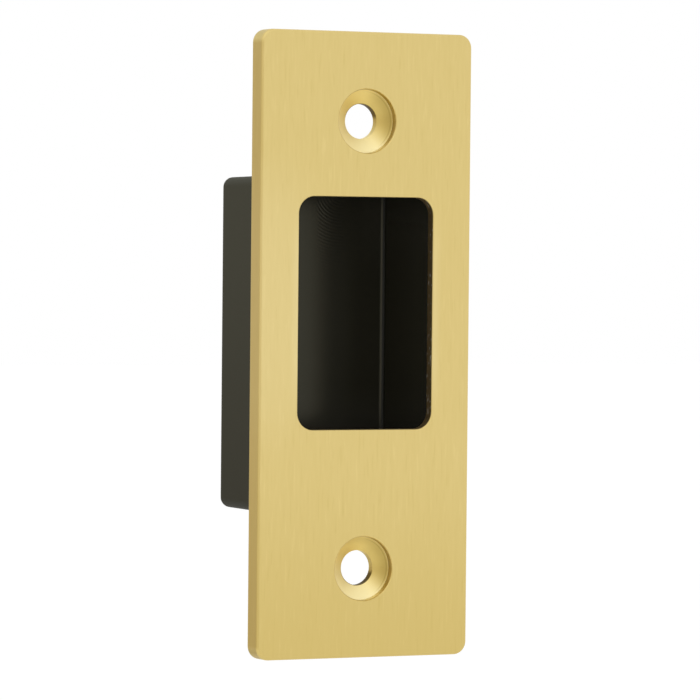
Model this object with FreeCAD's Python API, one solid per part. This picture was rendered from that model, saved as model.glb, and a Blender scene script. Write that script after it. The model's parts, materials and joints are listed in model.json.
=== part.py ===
import FreeCAD, Part
import math
import os

# Pocket door pull: a brass face plate with a finger window, and a black moulded cup seated behind it.
# Millimetres. +Z runs up the plate and -Y points out of the door's face. The origin is midway between
# the two screws, on the plate's back, which lies on the door.

# Face plate
PLATE_WIDTH = 30.0
PLATE_HEIGHT = 80.0
PLATE_THICKNESS = 3.0
PLATE_CORNER_RADIUS = 1.7
PLATE_FRONT_EDGE_RADIUS = 0.4
PLATE_BACK_EDGE_RADIUS = 0.3

# Finger window, with its middle raised above the plate's middle
WINDOW_WIDTH = 19.1
WINDOW_HEIGHT = 29.7
WINDOW_RISE = 4.05
WINDOW_CORNER_RADIUS = 2.2

# Screw holes: a slightly drafted step for the rim of the head, a shallow cone under it, and a clear bore
SCREW_SPACING = 57.2
SCREW_BORE_DIAMETER = 4.5
SCREW_HEAD_DIAMETER = 8.2
SCREW_HEAD_STEP = 0.95
SCREW_STEP_DRAFT = 4.0
SCREW_CONE_ANGLE = 118.0

# Eased front edges of the window and the screw holes
OPENING_EDGE_RADIUS = 0.2

# Moulded cup, measured outside at its rim. It narrows evenly towards its closed end.
CUP_WIDTH = 24.6
CUP_HEIGHT = 43.2
CUP_BEHIND_PLATE = 15.4
CUP_SIDE_WALL = 1.2
CUP_END_WALL = 1.5
CUP_DRAFT_ANGLE = 0.5
CUP_OUTSIDE_RADIUS = 1.3
CUP_INSIDE_RADIUS = 0.5

# The cup's rim sits in a pocket in the plate's back, down to a lip of brass around the window
WINDOW_LIP = 1.4
SEAT_CLEARANCE = 0.05

# How far a cutting tool runs past the faces it cuts
OVERRUN = 1.0

# Two faces closer than this lie in one plane
SAME_PLANE = 1e-6

# Depths along Y, from the front of the plate to the closed end of the cup
BACK_Y = 0.0
FRONT_Y = BACK_Y - PLATE_THICKNESS
SEAT_Y = FRONT_Y + WINDOW_LIP
CUP_END_Y = BACK_Y + CUP_BEHIND_PLATE
INTO_DOOR = FreeCAD.Vector(0, 1, 0)


def rounded_outline(width, height, radius, y, rise=0.0):
    """Closed wire of a rectangle with round corners, upright in the plane at y."""
    half_w = width / 2
    half_h = height / 2
    diagonal = radius * (1 - math.sqrt(0.5))

    def at(x, z):
        return FreeCAD.Vector(x, y, z + rise)

    edges = []
    for side_x, side_z in ((1, 1), (1, -1), (-1, -1), (-1, 1)):
        beside = at(side_x * half_w, side_z * (half_h - radius))
        level = at(side_x * (half_w - radius), side_z * half_h)
        middle = at(side_x * (half_w - diagonal), side_z * (half_h - diagonal))
        start, end = (level, beside) if side_x == side_z else (beside, level)
        if edges:
            edges.append(Part.LineSegment(edges[-1].lastVertex().Point, start).toShape())
        edges.append(Part.Arc(start, middle, end).toShape())
    edges.append(Part.LineSegment(edges[-1].lastVertex().Point, edges[0].firstVertex().Point).toShape())
    return Part.Wire(edges)


def rounded_prism(width, height, radius, from_y, to_y, rise=0.0):
    """Straight prism on a rounded outline, from one depth to another."""
    face = Part.Face(rounded_outline(width, height, radius, from_y, rise))
    return face.extrude(INTO_DOOR * (to_y - from_y))


def drafted_box(width, height, radius, open_y, end_y):
    """Box narrowing by the cup's draft from its open end to end_y, with every edge past the open end round."""
    half_w = width / 2
    half_h = height / 2
    inset = (end_y - open_y) * math.tan(math.radians(CUP_DRAFT_ANGLE))
    box = Part.makeWedge(-half_w, open_y, -half_h, inset - half_h, inset - half_w,
                         half_w, end_y, half_h, half_h - inset, half_w - inset)
    return box.makeFillet(radius, [edge for edge in box.Edges if edge.BoundBox.YMax > end_y - SAME_PLANE])


def face_in_plane(shape, y):
    """The flat face of a shape that lies in the plane at y."""
    return next(face for face in shape.Faces
                if abs(face.BoundBox.YMin - y) < SAME_PLANE and abs(face.BoundBox.YMax - y) < SAME_PLANE)


def round_outline(shape, y, radius):
    """Round the outer edges of the flat face at y."""
    return shape.makeFillet(radius, face_in_plane(shape, y).OuterWire.Edges)


def round_openings(shape, y, radius):
    """Round the edges of every opening in the flat face at y."""
    face = face_in_plane(shape, y)
    openings = [wire for wire in face.Wires if not wire.isSame(face.OuterWire)]
    return shape.makeFillet(radius, [edge for wire in openings for edge in wire.Edges])


def screw_hole(z):
    """Cutter for one screw: head step, cone and bore turned as one profile about the screw's axis."""
    bore_r = SCREW_BORE_DIAMETER / 2
    head_r = SCREW_HEAD_DIAMETER / 2
    foot_r = head_r - SCREW_HEAD_STEP * math.tan(math.radians(SCREW_STEP_DRAFT))
    step_y = FRONT_Y + SCREW_HEAD_STEP
    cone_y = step_y + (foot_r - bore_r) / math.tan(math.radians(SCREW_CONE_ANGLE / 2))
    end_y = max(cone_y, BACK_Y) + OVERRUN
    profile = [(0, FRONT_Y - OVERRUN), (head_r, FRONT_Y - OVERRUN), (head_r, FRONT_Y), (foot_r, step_y),
               (bore_r, cone_y), (bore_r, end_y), (0, end_y)]
    points = [FreeCAD.Vector(x, y, z) for x, y in profile]
    face = Part.Face(Part.makePolygon(points + points[:1]))
    return face.revolve(FreeCAD.Vector(0, 0, z), INTO_DOOR, 360)


def make_face_plate():
    """Plate with eased edges, finger window, rear pocket for the cup's rim and two screw holes."""
    plate = rounded_prism(PLATE_WIDTH, PLATE_HEIGHT, PLATE_CORNER_RADIUS, FRONT_Y, BACK_Y)
    plate = round_outline(plate, FRONT_Y, PLATE_FRONT_EDGE_RADIUS)
    plate = round_outline(plate, BACK_Y, PLATE_BACK_EDGE_RADIUS)
    pocket = rounded_prism(CUP_WIDTH + 2 * SEAT_CLEARANCE, CUP_HEIGHT + 2 * SEAT_CLEARANCE,
                           CUP_OUTSIDE_RADIUS + SEAT_CLEARANCE, SEAT_Y, BACK_Y + OVERRUN)
    window = rounded_prism(WINDOW_WIDTH, WINDOW_HEIGHT, WINDOW_CORNER_RADIUS,
                           FRONT_Y - OVERRUN, BACK_Y + OVERRUN, WINDOW_RISE)
    plate = plate.cut(pocket).cut(window)
    for side in (1, -1):
        plate = plate.cut(screw_hole(side * SCREW_SPACING / 2))
    return round_openings(plate, FRONT_Y, OPENING_EDGE_RADIUS)


def make_finger_cup():
    """Blind moulded cup: drafted walls of even thickness, ball corners outside and a small fillet inside."""
    outside = drafted_box(CUP_WIDTH, CUP_HEIGHT, CUP_OUTSIDE_RADIUS, SEAT_Y, CUP_END_Y)
    inside = drafted_box(CUP_WIDTH - 2 * CUP_SIDE_WALL, CUP_HEIGHT - 2 * CUP_SIDE_WALL,
                         CUP_INSIDE_RADIUS, SEAT_Y, CUP_END_Y - CUP_END_WALL)
    return outside.cut(inside)


def export(node, shape):
    """Write one sub-part's STEP file under its node name."""
    solid = shape.Solids[0]
    if len(shape.Solids) != 1 or not solid.isValid():
        raise ValueError(node + " is not one valid solid")
    solid.exportStep(os.path.join("parts", node + ".step"))


os.makedirs("parts", exist_ok=True)
export("face_plate", make_face_plate())
export("finger_cup", make_finger_cup())
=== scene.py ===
import json
import math

import bpy
from mathutils import Matrix, Vector


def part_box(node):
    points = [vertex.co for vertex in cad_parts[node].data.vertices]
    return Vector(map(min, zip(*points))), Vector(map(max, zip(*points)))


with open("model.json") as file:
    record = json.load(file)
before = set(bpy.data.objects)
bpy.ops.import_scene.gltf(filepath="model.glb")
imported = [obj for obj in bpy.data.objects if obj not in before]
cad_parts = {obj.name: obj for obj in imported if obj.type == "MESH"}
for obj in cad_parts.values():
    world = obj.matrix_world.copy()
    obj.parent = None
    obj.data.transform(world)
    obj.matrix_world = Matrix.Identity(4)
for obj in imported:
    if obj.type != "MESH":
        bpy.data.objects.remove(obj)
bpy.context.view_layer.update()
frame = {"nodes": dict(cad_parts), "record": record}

# Pocket door pull: a brushed brass plate with a finger window, and a black moulded cup behind it.
# Metres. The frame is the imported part's own: +Z up the plate, -Y out of the door's face.
# The materials work in millimetres. A pair of numbers is a range over which a mask rises from 0 to 1.

MM = 0.001

# Camera, fitted to the plate's outline and holes in the square photograph
IMAGE_PIXELS = 700
FOCAL_PIXELS = 4662
SENSOR_MM = 36.0
CAMERA_LEFT_DEG = 26.5165
CAMERA_UP_DEG = 1.164
CAMERA_ROLL_DEG = 0.5353
CAMERA_DISTANCE = 0.5947
CAMERA_CLIP_START = 0.05
CAMERA_TARGET = Vector((-2.235, -3.0, -0.63)) * MM

# Screw holes and window of the plate
SCREWS = frame["record"]["mounts"][0]["dims"]
HOLE_Z = SCREWS["spacing_y_mm"] / 2
BORE_RADIUS = SCREWS["hole_r_mm"]
HEAD_RADIUS = 4.1
CONE_RADIUS = 4.0
WINDOW_HALF_WIDTH = 9.55
WINDOW_HALF_HEIGHT = 14.85
WINDOW_RISE = 4.05

# Soft edges of the masks around them, measured from the radius or half size they belong to
BORE_EDGE = (0.01, 0.08)
HEAD_EDGE = (-0.04, 0.02)
CONE_EDGE = (-0.02, 0.03)
WINDOW_EDGE = (0.1, 0.2)
RECESS_DEPTH = (-0.9, -0.7)
CUT_DEPTH = (-2.9, -2.75)

# Brush strokes: features per millimetre across and along, and the noise's detail
SHORT_STROKES = (2.6, 0.28, 2.0)
LONG_STROKES = (1.1, 0.05, 2.0)
HAIR_STROKES = (3.1, 0.26, 1.0)
PALE_HAIRS = (0.60, 0.78)
DARK_HAIRS = (0.22, 0.40)
STROKE_BASE = 0.22
SHORT_SHARE = 0.36
LONG_SHARE = 0.20
HAIR_SHARE = 0.22
HAIR_SHARE_AT_FOOT = 0.14

# Brushed front: its strokes, a painted highlight in an oval left of the window, painted shade towards its
# foot, and a paler band beside the window's sides
STROKE_DEEP = (0.669, 0.514, 0.185, 1)
STROKE_PALE = (0.783, 0.627, 0.264, 1)
PAINTED_SHEEN = (0.88, 0.74, 0.39, 1)
PAINTED_SHEEN_WEIGHT = 0.24
PAINTED_SHEEN_X = -14.0
PAINTED_SHEEN_Z = 5.0
PAINTED_SHEEN_HALF_WIDTH = 9.0
PAINTED_SHEEN_HALF_HEIGHT = 17.0
PAINTED_SHEEN_FADE = (0.0, 1.6)
PLATE_FOOT_SHADE = (0.615, 0.457, 0.134, 1)
PLATE_FOOT_SHADE_WEIGHT = 0.5
PLATE_FOOT_FADE = (-42.0, -12.0)
RIM = (0.88, 0.74, 0.40, 1)
RIM_WEIGHT = 0.28
RIM_FADE = (0.1, 1.5)
RIM_ENDS_FROM = 6.0

# Turned recesses: ring marks; on the cone a painted highlight below, painted shade on its right and at the
# top of the lower cone, and a painted dark line near the step's foot on its right; the step with a painted
# highlight on its lower part; the bore with a painted dark reflection in its outer half
TURNED_DEEP = (0.825, 0.63, 0.205, 1)
TURNED_PALE = (0.885, 0.69, 0.245, 1)
TURNED_RINGS_PER_MM = 5.0
CONE_PAINTED_HIGHLIGHT = (0.99, 0.865, 0.47, 1)
CONE_PAINTED_HIGHLIGHT_WEIGHT = 0.95
CONE_PAINTED_HIGHLIGHT_DOWN = 1.2
CONE_PAINTED_HIGHLIGHT_LEFT = 0.6
CONE_PAINTED_HIGHLIGHT_FADE = (-2.0, 4.0)
CONE_PAINTED_SHADE = (0.48, 0.355, 0.10, 1)
CONE_PAINTED_SHADE_RIGHT = 0.97
CONE_PAINTED_SHADE_UP = 0.26
CONE_PAINTED_SHADE_FADE = (0.2, 1.0)
CONE_PAINTED_SHADE_WEIGHT_AT_BORE = 0.5
CONE_PAINTED_SHADE_MORE_AT_STEP = 0.4
CONE_PAINTED_SHADE_BORE_TO_STEP = (2.4, 3.8)
LOW_HOLE_TOP_SHADE_WEIGHT = 0.9
LOW_HOLE_TOP_SHADE_FADE = (2.6, 3.8)
STEP_FOOT_SHADE = (0.36, 0.26, 0.07, 1)
STEP_FOOT_SHADE_WEIGHT = 0.6
STEP_FOOT_SHADE_RADIUS = 3.8
STEP_FOOT_SHADE_FADE = (0.03, 0.09)
STEP_DEEP = (0.70, 0.60, 0.31, 1)
STEP_PAINTED_HIGHLIGHT = (0.95, 0.87, 0.58, 1)
STEP_PAINTED_HIGHLIGHT_BELOW = (2.2, 3.6)
BORE_PAINTED_REFLECTION = (0.17, 0.10, 0.0, 1)
BORE_PAINTED_REFLECTION_FADE = (0.2, 0.9)

# Cut edge of the window
CUT_BRASS = (0.49, 0.35, 0.17, 1)
CUT_SPECK = (0.84, 0.79, 0.68, 1)
SPECK_SCALE = (3.0, 3.0, 1.6)
SPECK_RANGE = (0.64, 0.70)

# Roughness of the brass, what each area adds to it, and the depth of its marks
BRASS_ROUGHNESS = 0.36
BRASS_MARKS_ADD = 0.10
CONE_ADDS = 0.14
RECESS_ADDS = -0.06
CUT_ADDS = 0.10
SPECK_ADDS = 0.2
BRASS_BUMP = 0.08
BUMP_DEPTH = 0.02 * MM

# Cup: the middle of its walls parts the inside from the outside
CUP_HALF_WALL = 0.65
WALL_MIDDLE = (-0.1, 0.1)
END_WALL_FROM = (-1.1, -0.9)
CORNER_FROM_BACK = (-1.45, -1.2)
CORNER_FROM_SIDE = (-1.0, -0.8)

# Mill rings on the cup's end wall: their middle, their pitch, and where they show
RING_X = 4.7
RING_Z = 20.0
RING_PITCH = 0.41
RING_LEFT = (0.9, 1.9)
RING_RIGHT = (4.4, 6.2)
RING_FADE = (6.0, 12.0)
RING_CHANGE_PER_MM = 0.8
RING_CHANGE_PLACE = (0.4, 0.3)
RING_CHANGE = (0.36, 0.60)
RING_LEAST = 0.4
RING_MORE = 0.6
RING_PALE = (0.05, 0.05, 0.04, 1)
RING_PALE_WEIGHT = 0.09
RING_BUMP = 7.0
RINGS_ADD = 0.05

# Moulded plastic: grain, painted light and shade on areas of the inside, a painted highlight on its corner
# line, and painted shade on the outside towards its foot
GRAIN_PER_MM = 8.0
GRAIN_DETAIL = 3.0
GRAIN_FALLOFF = 0.6
INNER_DEEP = (0.0205, 0.0198, 0.0135, 1)
INNER_PALE = (0.0275, 0.0265, 0.0180, 1)
END_WALL_PAINTED_LIGHT = (0.045, 0.043, 0.033, 1)
END_WALL_PAINTED_LIGHT_WEIGHT = 0.35
END_WALL_PAINTED_LIGHT_LEFT = (0.5, 3.0)
END_WALL_PAINTED_LIGHT_RIGHT = (4.0, 8.0)
END_WALL_PAINTED_SHADE = (0.013, 0.0125, 0.009, 1)
END_WALL_PAINTED_SHADE_WEIGHT = 0.5
END_WALL_PAINTED_SHADE_FROM = (5.0, 8.0)
INNER_ENDS_PAINTED_LIGHT = (0.055, 0.052, 0.042, 1)
INNER_ENDS_PAINTED_LIGHT_WEIGHT = 0.45
INNER_FOOT_FADE = (-12.0, -5.0)
INNER_TOP_FADE = (8.0, 18.0)
INNER_TOP_RIGHT = (4.0, 11.0)
CORNER_PAINTED_HIGHLIGHT = (0.075, 0.074, 0.066, 1)
OUTER_DEEP = (0.0148, 0.0156, 0.0096, 1)
OUTER_PALE = (0.0218, 0.0228, 0.015, 1)
OUTER_FOOT_SHADE = (0.004, 0.0045, 0.002, 1)
OUTER_FOOT_SHADE_WEIGHT = 0.9
OUTER_FOOT_SHADE_FADE = (-24.0, 20.0)

# Roughness of the plastic, what each area adds to it, and its gloss
PLASTIC_ROUGHNESS = 0.215
OUTSIDE_ADDS = 0.385
GRAIN_ADDS = 0.1
CORNER_ADDS = -0.08
PLASTIC_BUMP = 0.06
PLASTIC_IOR = 1.45
PLASTIC_GLOSS_TINT = (1.0, 0.96, 0.72, 1)

# Studio: the floor lies well below the part, and the panels show only in reflections
FLOOR_Z = -0.16
FLOOR_HALF = 6.0
FLOOR_COLOUR = (0.80, 0.80, 0.80, 1)
FLOOR_ROUGHNESS = 0.9
FLOOR_GLOW = (0.35, 0.35, 0.35, 1)
BLACK = (0, 0, 0, 1)
WHITE = (1, 1, 1, 1)
WORLD_LEVEL = 0.8
WORLD_SEEN_MORE = 0.2
LAMP_PLACE = (-0.45, -0.62, 0.74)
LAMP_SIZE = 1.0
LAMP_WATTS = 0.5

# Each panel's name, middle, width, height and colour
PANELS = (
    ("back_left_panel", (-0.36, 0.38, 0.0), 1.00, 0.30, (0.62, 0.56, 0.44, 1)),
    ("left_panel", (-0.70, -0.35, 0.0), 1.20, 0.50, (0.82, 0.78, 0.70, 1)),
    ("camera_side_panel", (-0.44, -0.62, 0.0), 0.44, 0.40, (0.74, 0.68, 0.57, 1)),
    ("low_back_panel", (-0.03, 0.20, -0.12), 0.20, 0.07, (0.50, 0.48, 0.42, 1)),
    ("high_back_panel", (0.0, 0.40, 0.21), 0.40, 0.26, (0.76, 0.76, 0.66, 1)),
)


class Value:
    """A node's output used as a number: each operator adds one Math node to the same tree."""

    def __init__(self, shader, socket):
        self.shader = shader
        self.socket = socket

    def math(self, operation, *terms):
        return self.shader.node("ShaderNodeMath", {"operation": operation}, dict(enumerate(terms)))

    def __add__(self, other):
        return self.math("ADD", self, other)

    def __radd__(self, other):
        return self.math("ADD", other, self)

    def __sub__(self, other):
        return self.math("SUBTRACT", self, other)

    def __rsub__(self, other):
        return self.math("SUBTRACT", other, self)

    def __mul__(self, other):
        return self.math("MULTIPLY", self, other)

    def __rmul__(self, other):
        return self.math("MULTIPLY", other, self)

    def __truediv__(self, other):
        return self.math("DIVIDE", self, other)

    def __rtruediv__(self, other):
        return self.math("DIVIDE", other, self)

    def __abs__(self):
        return self.math("ABSOLUTE", self)

    def root(self):
        return self.math("POWER", self, 0.5)

    def sign(self):
        return self.math("SIGN", self)

    def sine(self):
        return self.math("SINE", self)

    def largest(self, other):
        return self.math("MAXIMUM", self, other)

    def rise(self, low, high):
        """0 below low and 1 above high, with a smooth step between them."""
        return self.shader.node("ShaderNodeMapRange", {"interpolation_type": "SMOOTHSTEP"},
                                {"Value": self, "From Min": low, "From Max": high})

    def within(self, limit, edge):
        """1 below the limit and 0 above it, with a soft edge measured from the limit."""
        return 1 - self.rise(limit + edge[0], limit + edge[1])


class Shader:
    """A node tree that is emptied and filled by one method."""

    def __init__(self, owner):
        owner.use_nodes = True
        self.tree = owner.node_tree
        self.tree.nodes.clear()

    def node(self, kind, settings=None, inputs=None, output=0):
        """Add a node, give it its settings, then set or link its sockets; returns one of its outputs."""
        made = self.tree.nodes.new(kind)
        for name, value in (settings or {}).items():
            setattr(made, name, value)
        for key, value in (inputs or {}).items():
            if isinstance(value, Value):
                self.tree.links.new(value.socket, made.inputs[key])
            else:
                made.inputs[key].default_value = value
        return Value(self, made.outputs[output]) if made.outputs else None

    def millimetres(self):
        """The surface point's own x, y and z in millimetres."""
        point = self.node("ShaderNodeTexCoord", output="Object")
        return [self.node("ShaderNodeSeparateXYZ", None, {0: point}, axis) / MM for axis in range(3)]

    def noise(self, x, y, z, detail=2.0, roughness=0.5):
        """Fractal noise, about 0 to 1, with features about one unit long in the given coordinates."""
        place = self.node("ShaderNodeCombineXYZ", None, {0: x, 1: y, 2: z})
        return self.node("ShaderNodeTexNoise", None,
                         {"Vector": place, "Scale": 1.0, "Detail": detail, "Roughness": roughness})

    def strokes(self, x, y, z, across, along, detail):
        """Noise drawn out along z, with so many features per millimetre across and along."""
        return self.noise(x * across, y * across, z * along, detail)

    def blend(self, factor, first, second):
        """The first colour where factor is 0, and the second where it is 1."""
        return self.node("ShaderNodeMix", {"data_type": "RGBA"}, {0: factor, 6: first, 7: second}, 2)

    def bump(self, strength, height):
        """A normal tilted by the slope of height."""
        return self.node("ShaderNodeBump", None,
                         {"Strength": strength, "Distance": BUMP_DEPTH, "Height": height})

    def finish(self, surface, target="ShaderNodeOutputMaterial"):
        self.node(target, None, {"Surface": surface})


def plate_foot(z):
    """1 at the foot of the plate and 0 from the window's lower part upwards."""
    return 1 - z.rise(*PLATE_FOOT_FADE)


def brush_strokes(brass, x, y, z):
    """Short and long strokes up the plate, with single pale and dark hairlines that grow towards its foot."""
    short = brass.strokes(x, y, z, *SHORT_STROKES)
    long = brass.strokes(x, y, z, *LONG_STROKES)
    hair = brass.strokes(x, y, z, *HAIR_STROKES)
    hairlines = hair.rise(*PALE_HAIRS) - (1 - hair.rise(*DARK_HAIRS))
    hair_share = HAIR_SHARE + plate_foot(z) * HAIR_SHARE_AT_FOOT
    return STROKE_BASE + short * SHORT_SHARE + long * LONG_SHARE + hairlines * hair_share


def brushed_front(brass, x, z, strokes):
    """Colour of the brushed faces: strokes, a soft oval painted highlight, painted shade towards the foot and
    a paler band beside the window's sides.
    """
    front = brass.blend(strokes, STROKE_DEEP, STROKE_PALE)
    # Painted highlight: a soft oval paler area left of the window
    across = (x - PAINTED_SHEEN_X) / PAINTED_SHEEN_HALF_WIDTH
    along = (z - PAINTED_SHEEN_Z) / PAINTED_SHEEN_HALF_HEIGHT
    painted_sheen = 1 - (across * across + along * along).rise(*PAINTED_SHEEN_FADE)
    front = brass.blend(painted_sheen * PAINTED_SHEEN_WEIGHT, front, PAINTED_SHEEN)
    # Painted shade: the front darker towards the plate's foot
    front = brass.blend(plate_foot(z) * PLATE_FOOT_SHADE_WEIGHT, front, PLATE_FOOT_SHADE)
    # A paler band beside the window's sides, fading towards the window's ends
    past_ends = abs(z - WINDOW_RISE).rise(RIM_ENDS_FROM, WINDOW_HALF_HEIGHT)
    past_side = (abs(x) - WINDOW_HALF_WIDTH).rise(*RIM_FADE)
    rim = (1 - past_ends) * (1 - past_side)
    return brass.blend(rim * RIM_WEIGHT, front, RIM)


def turned_recess(brass, x, y, z):
    """Colour, ring marks and masks of both screw recesses, by the distance from the nearer screw's axis; the
    colour carries painted highlights, painted shade and a painted dark reflection.
    """
    outward = abs(z) - HOLE_Z
    upward = outward * z.sign()
    hole_r = (x * x + outward * outward).root()
    ahead = 1 - y.rise(*RECESS_DEPTH)
    bore = hole_r.within(BORE_RADIUS, BORE_EDGE)
    recess = bore.largest(ahead * hole_r.within(HEAD_RADIUS, HEAD_EDGE))
    cone = bore.largest(ahead * hole_r.within(CONE_RADIUS, CONE_EDGE))

    rings = brass.noise((hole_r - y) * TURNED_RINGS_PER_MM, 0.0, 0.0)
    turned = brass.blend(rings, TURNED_DEEP, TURNED_PALE)
    # Painted highlight: the cone paler below and to the left
    cone_highlight = cone * (0 - upward * CONE_PAINTED_HIGHLIGHT_DOWN - x * CONE_PAINTED_HIGHLIGHT_LEFT).rise(*CONE_PAINTED_HIGHLIGHT_FADE)
    turned = brass.blend(cone_highlight * CONE_PAINTED_HIGHLIGHT_WEIGHT, turned, CONE_PAINTED_HIGHLIGHT)
    # Painted shade: the cone darker on its right, more towards the step
    cone_shade = cone * ((x * CONE_PAINTED_SHADE_RIGHT + upward * CONE_PAINTED_SHADE_UP) / hole_r).rise(*CONE_PAINTED_SHADE_FADE)
    cone_shade_weight = CONE_PAINTED_SHADE_WEIGHT_AT_BORE + hole_r.rise(*CONE_PAINTED_SHADE_BORE_TO_STEP) * CONE_PAINTED_SHADE_MORE_AT_STEP
    turned = brass.blend(cone_shade * cone_shade_weight, turned, CONE_PAINTED_SHADE)
    # Painted shade: the top of the lower recess's cone darker
    low_hole_top_shade = cone * plate_foot(z) * upward.rise(*LOW_HOLE_TOP_SHADE_FADE)
    turned = brass.blend(low_hole_top_shade * LOW_HOLE_TOP_SHADE_WEIGHT, turned, CONE_PAINTED_SHADE)
    # Painted shade: a thin dark line near the step's foot, on the cone's shaded right side only
    step_foot_shade = cone_shade * (1 - abs(hole_r - STEP_FOOT_SHADE_RADIUS).rise(*STEP_FOOT_SHADE_FADE))
    turned = brass.blend(step_foot_shade * STEP_FOOT_SHADE_WEIGHT, turned, STEP_FOOT_SHADE)
    # Painted highlight: the step's wall paler on its lower part
    step = brass.blend((0 - upward).rise(*STEP_PAINTED_HIGHLIGHT_BELOW), STEP_DEEP, STEP_PAINTED_HIGHLIGHT)
    turned = brass.blend(recess - cone, turned, step)
    # Painted dark reflection: the outer half of each bore darker
    turned = brass.blend(bore * outward.rise(*BORE_PAINTED_REFLECTION_FADE), turned, BORE_PAINTED_REFLECTION)
    return turned, rings, recess, cone


def satin_brass():
    """Brushed brass: strokes up the plate, turned screw recesses, and the window's cut edge, with painted
    light and shade on the front and in the recesses.
    """
    material = bpy.data.materials.new("satin_brass_brushed")
    brass = Shader(material)
    x, y, z = brass.millimetres()
    strokes = brush_strokes(brass, x, y, z)
    front = brushed_front(brass, x, z, strokes)
    turned, rings, recess, cone = turned_recess(brass, x, y, z)
    colour = brass.blend(recess, front, turned)

    beside = abs(x).within(WINDOW_HALF_WIDTH, WINDOW_EDGE)
    between = abs(z - WINDOW_RISE).within(WINDOW_HALF_HEIGHT, WINDOW_EDGE)
    cut = beside * between * y.rise(*CUT_DEPTH)
    speck_x, speck_y, speck_z = SPECK_SCALE
    specks = brass.noise(x * speck_x, y * speck_y, z * speck_z, 1.0).rise(*SPECK_RANGE)
    colour = brass.blend(cut, colour, brass.blend(specks, CUT_BRASS, CUT_SPECK))

    marks = strokes + recess * (rings - strokes)
    rough = BRASS_ROUGHNESS + (marks - 0.5) * BRASS_MARKS_ADD
    rough = rough + cone * CONE_ADDS + recess * RECESS_ADDS
    rough = rough + cut * CUT_ADDS + cut * specks * SPECK_ADDS
    surface = brass.node("ShaderNodeBsdfPrincipled", None,
                         {"Base Color": colour, "Metallic": 1.0, "Roughness": rough,
                          "Normal": brass.bump(BRASS_BUMP, marks)})
    brass.finish(surface)
    return material


def mill_rings(plastic, x, z, end_wall):
    """Sine waves around one point of the end wall, in a patch, and uneven from ring to ring."""
    ring_x = x - RING_X
    ring_z = z - RING_Z
    ring_r = (ring_x * ring_x + ring_z * ring_z).root()
    wave = (ring_r * (2 * math.pi / RING_PITCH)).sine()
    patch = x.rise(*RING_LEFT) * (1 - x.rise(*RING_RIGHT)) * (1 - ring_r.rise(*RING_FADE))
    change = plastic.noise(ring_r * RING_CHANGE_PER_MM, *RING_CHANGE_PLACE, 1.0).rise(*RING_CHANGE)
    return wave * end_wall * patch * (RING_LEAST + change * RING_MORE)


def cup_inside(plastic, x, z, grain, end_wall, corner, rings):
    """Colour of the inside: grain, painted light and shade on the end wall, painted light at its ends, mill
    rings and a painted highlight on the corner line.
    """
    inner = plastic.blend(grain, INNER_DEEP, INNER_PALE)
    # Painted light: a paler band across the end wall
    end_wall_light = end_wall * x.rise(*END_WALL_PAINTED_LIGHT_LEFT) * (1 - x.rise(*END_WALL_PAINTED_LIGHT_RIGHT))
    inner = plastic.blend(end_wall_light * END_WALL_PAINTED_LIGHT_WEIGHT, inner, END_WALL_PAINTED_LIGHT)
    # Painted shade: the end wall darker towards its right
    end_wall_shade = end_wall * x.rise(*END_WALL_PAINTED_SHADE_FROM)
    inner = plastic.blend(end_wall_shade * END_WALL_PAINTED_SHADE_WEIGHT, inner, END_WALL_PAINTED_SHADE)
    # Painted light: the inside paler at its foot and at its top right, to even out its shading
    ends_light = 1 - z.rise(*INNER_FOOT_FADE) + z.rise(*INNER_TOP_FADE) * x.rise(*INNER_TOP_RIGHT)
    inner = plastic.blend(ends_light * INNER_ENDS_PAINTED_LIGHT_WEIGHT, inner, INNER_ENDS_PAINTED_LIGHT)
    inner = plastic.blend(rings.rise(0.0, 1.0) * RING_PALE_WEIGHT, inner, RING_PALE)
    # Painted highlight: a paler corner line between the end wall and the right side wall
    return plastic.blend(corner, inner, CORNER_PAINTED_HIGHLIGHT)


def black_plastic():
    """Moulded black plastic: matt outside with painted shade towards its foot, and a smooth inside with faint
    mill rings and painted light and shade.
    """
    material = bpy.data.materials.new("black_plastic_moulded")
    plastic = Shader(material)
    x, y, z = plastic.millimetres()
    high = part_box("finger_cup")[1]
    past_side = abs(x) - (high[0] / MM - CUP_HALF_WALL)
    past_end = abs(z) - (high[2] / MM - CUP_HALF_WALL)
    past_back = y - (high[1] / MM - CUP_HALF_WALL)
    outside = past_side.largest(past_end.largest(past_back)).rise(*WALL_MIDDLE)
    inside = 1 - outside
    end_wall = inside * past_back.rise(*END_WALL_FROM)
    corner = inside * past_back.rise(*CORNER_FROM_BACK) * past_side.rise(*CORNER_FROM_SIDE)

    grain = plastic.noise(x * GRAIN_PER_MM, y * GRAIN_PER_MM, z * GRAIN_PER_MM, GRAIN_DETAIL, GRAIN_FALLOFF)
    rings = mill_rings(plastic, x, z, end_wall)
    inner = cup_inside(plastic, x, z, grain, end_wall, corner, rings)
    outer = plastic.blend(grain, OUTER_DEEP, OUTER_PALE)
    # Painted shade: the outside darker towards its foot
    outer_shade = 1 - z.rise(*OUTER_FOOT_SHADE_FADE)
    outer = plastic.blend(outer_shade * OUTER_FOOT_SHADE_WEIGHT, outer, OUTER_FOOT_SHADE)
    colour = plastic.blend(outside, inner, outer)

    rough = PLASTIC_ROUGHNESS + outside * OUTSIDE_ADDS + (grain - 0.5) * GRAIN_ADDS
    rough = rough + corner * CORNER_ADDS + rings * RINGS_ADD
    surface = plastic.node("ShaderNodeBsdfPrincipled", None,
                           {"Base Color": colour, "Roughness": rough, "IOR": PLASTIC_IOR,
                            "Specular Tint": PLASTIC_GLOSS_TINT,
                            "Normal": plastic.bump(PLASTIC_BUMP, grain + rings * RING_BUMP)})
    plastic.finish(surface)
    return material


def dress(node, material):
    """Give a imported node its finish."""
    mesh = frame["nodes"][node].data
    mesh.materials.clear()
    mesh.materials.append(material)


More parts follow.
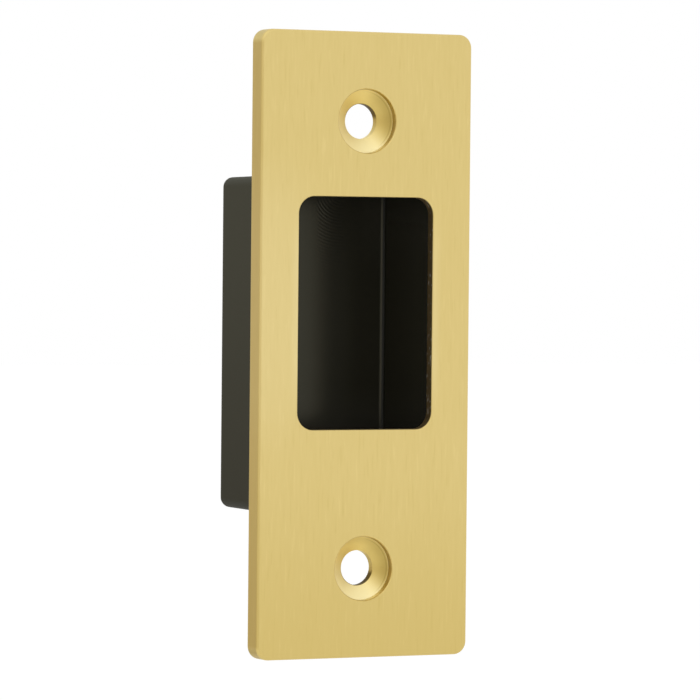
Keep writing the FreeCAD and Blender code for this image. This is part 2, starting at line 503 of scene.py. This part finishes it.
def seen_rays(shader):
    """1 for the rays that show the background: from the camera, off a glossy face or through glass."""
    camera = shader.node("ShaderNodeLightPath", output="Is Camera Ray")
    glossy = shader.node("ShaderNodeLightPath", output="Is Glossy Ray")
    through = shader.node("ShaderNodeLightPath", output="Is Transmission Ray")
    return camera.largest(glossy.largest(through))


def white_world():
    """White wherever it is seen or mirrored, and a little dimmer as a light on matt faces."""
    world = bpy.data.worlds.new("studio_white")
    bpy.context.scene.world = world
    studio = Shader(world)
    level = WORLD_LEVEL + WORLD_SEEN_MORE * seen_rays(studio)
    white = studio.node("ShaderNodeBackground", None, {"Color": WHITE, "Strength": level})
    studio.finish(white, "ShaderNodeOutputWorld")


def stage_card(name, corners, material):
    """A flat card through four corners, which belongs to the studio and not to the part."""
    mesh = bpy.data.meshes.new(name)
    mesh.from_pydata(corners, [], [(0, 1, 2, 3)])
    mesh.materials.append(material)
    card = bpy.data.objects.new(name, mesh)
    bpy.context.scene.collection.objects.link(card)
    return card


def pale_paper():
    """White paper that takes a shadow: matt, with enough glow to look white where nothing shades it."""
    material = bpy.data.materials.new("floor_paper")
    paper = Shader(material)
    glow = paper.blend(seen_rays(paper), BLACK, FLOOR_GLOW)
    surface = paper.node("ShaderNodeBsdfPrincipled", None,
                         {"Base Color": FLOOR_COLOUR, "Roughness": FLOOR_ROUGHNESS,
                          "Emission Color": glow, "Emission Strength": 1.0})
    paper.finish(surface)
    return material


def dim_panel(name, centre, width, height, colour):
    """An upright panel that faces the part and shows only in reflections, darker than the white around it."""
    material = bpy.data.materials.new(name)
    panel = Shader(material)
    panel.finish(panel.node("ShaderNodeEmission", None, {"Color": colour, "Strength": 1.0}))
    x, y, z = centre
    reach = math.hypot(x, y)
    side = Vector((-y, x, 0.0)) * (width / 2 / reach)
    up = Vector((0.0, 0.0, height / 2))
    middle = Vector(centre)
    corners = [middle - side - up, middle + side - up, middle + side + up, middle - side + up]
    card = stage_card(name, corners, material)
    card.visible_camera = False
    card.visible_diffuse = False
    card.visible_shadow = False


def soft_box(name, place, size, watts):
    """A square area lamp aimed at the part."""
    data = bpy.data.lights.new(name, "AREA")
    data.size = size
    data.energy = watts
    lamp = bpy.data.objects.new(name, data)
    lamp.location = place
    lamp.rotation_euler = Vector(place).to_track_quat("Z", "Y").to_euler()
    bpy.context.scene.collection.objects.link(lamp)


def build_studio():
    """White world, pale floor, dim panels for the reflections and one weak lamp above the front left."""
    white_world()
    near, far = -FLOOR_HALF, FLOOR_HALF
    floor = [(near, near, FLOOR_Z), (far, near, FLOOR_Z), (far, far, FLOOR_Z), (near, far, FLOOR_Z)]
    stage_card("floor", floor, pale_paper())
    for panel in PANELS:
        dim_panel(*panel)
    soft_box("top_soft_box", LAMP_PLACE, LAMP_SIZE, LAMP_WATTS)


def place_camera():
    """Camera on the line from its target, turned about that line by the roll."""
    left = math.radians(CAMERA_LEFT_DEG)
    raised = math.radians(CAMERA_UP_DEG)
    roll = math.radians(CAMERA_ROLL_DEG)
    level = math.cos(raised)
    back = Vector((-math.sin(left) * level, -math.cos(left) * level, math.sin(raised)))
    right = Vector((math.cos(left), -math.sin(left), 0.0))
    up = back.cross(right)
    rolled_right = right * math.cos(roll) + up * math.sin(roll)
    rolled_up = up * math.cos(roll) - right * math.sin(roll)
    data = bpy.data.cameras.new("camera")
    data.sensor_width = SENSOR_MM
    data.lens = FOCAL_PIXELS * SENSOR_MM / IMAGE_PIXELS
    data.clip_start = CAMERA_CLIP_START
    camera = bpy.data.objects.new("camera", data)
    turn = Matrix((rolled_right, rolled_up, back)).transposed().to_4x4()
    camera.matrix_world = Matrix.Translation(CAMERA_TARGET + back * CAMERA_DISTANCE) @ turn
    bpy.context.scene.collection.objects.link(camera)
    bpy.context.scene.camera = camera


dress("face_plate", satin_brass())
dress("finger_cup", black_plastic())
build_studio()
place_camera()
bpy.context.scene.view_settings.view_transform = "Standard"
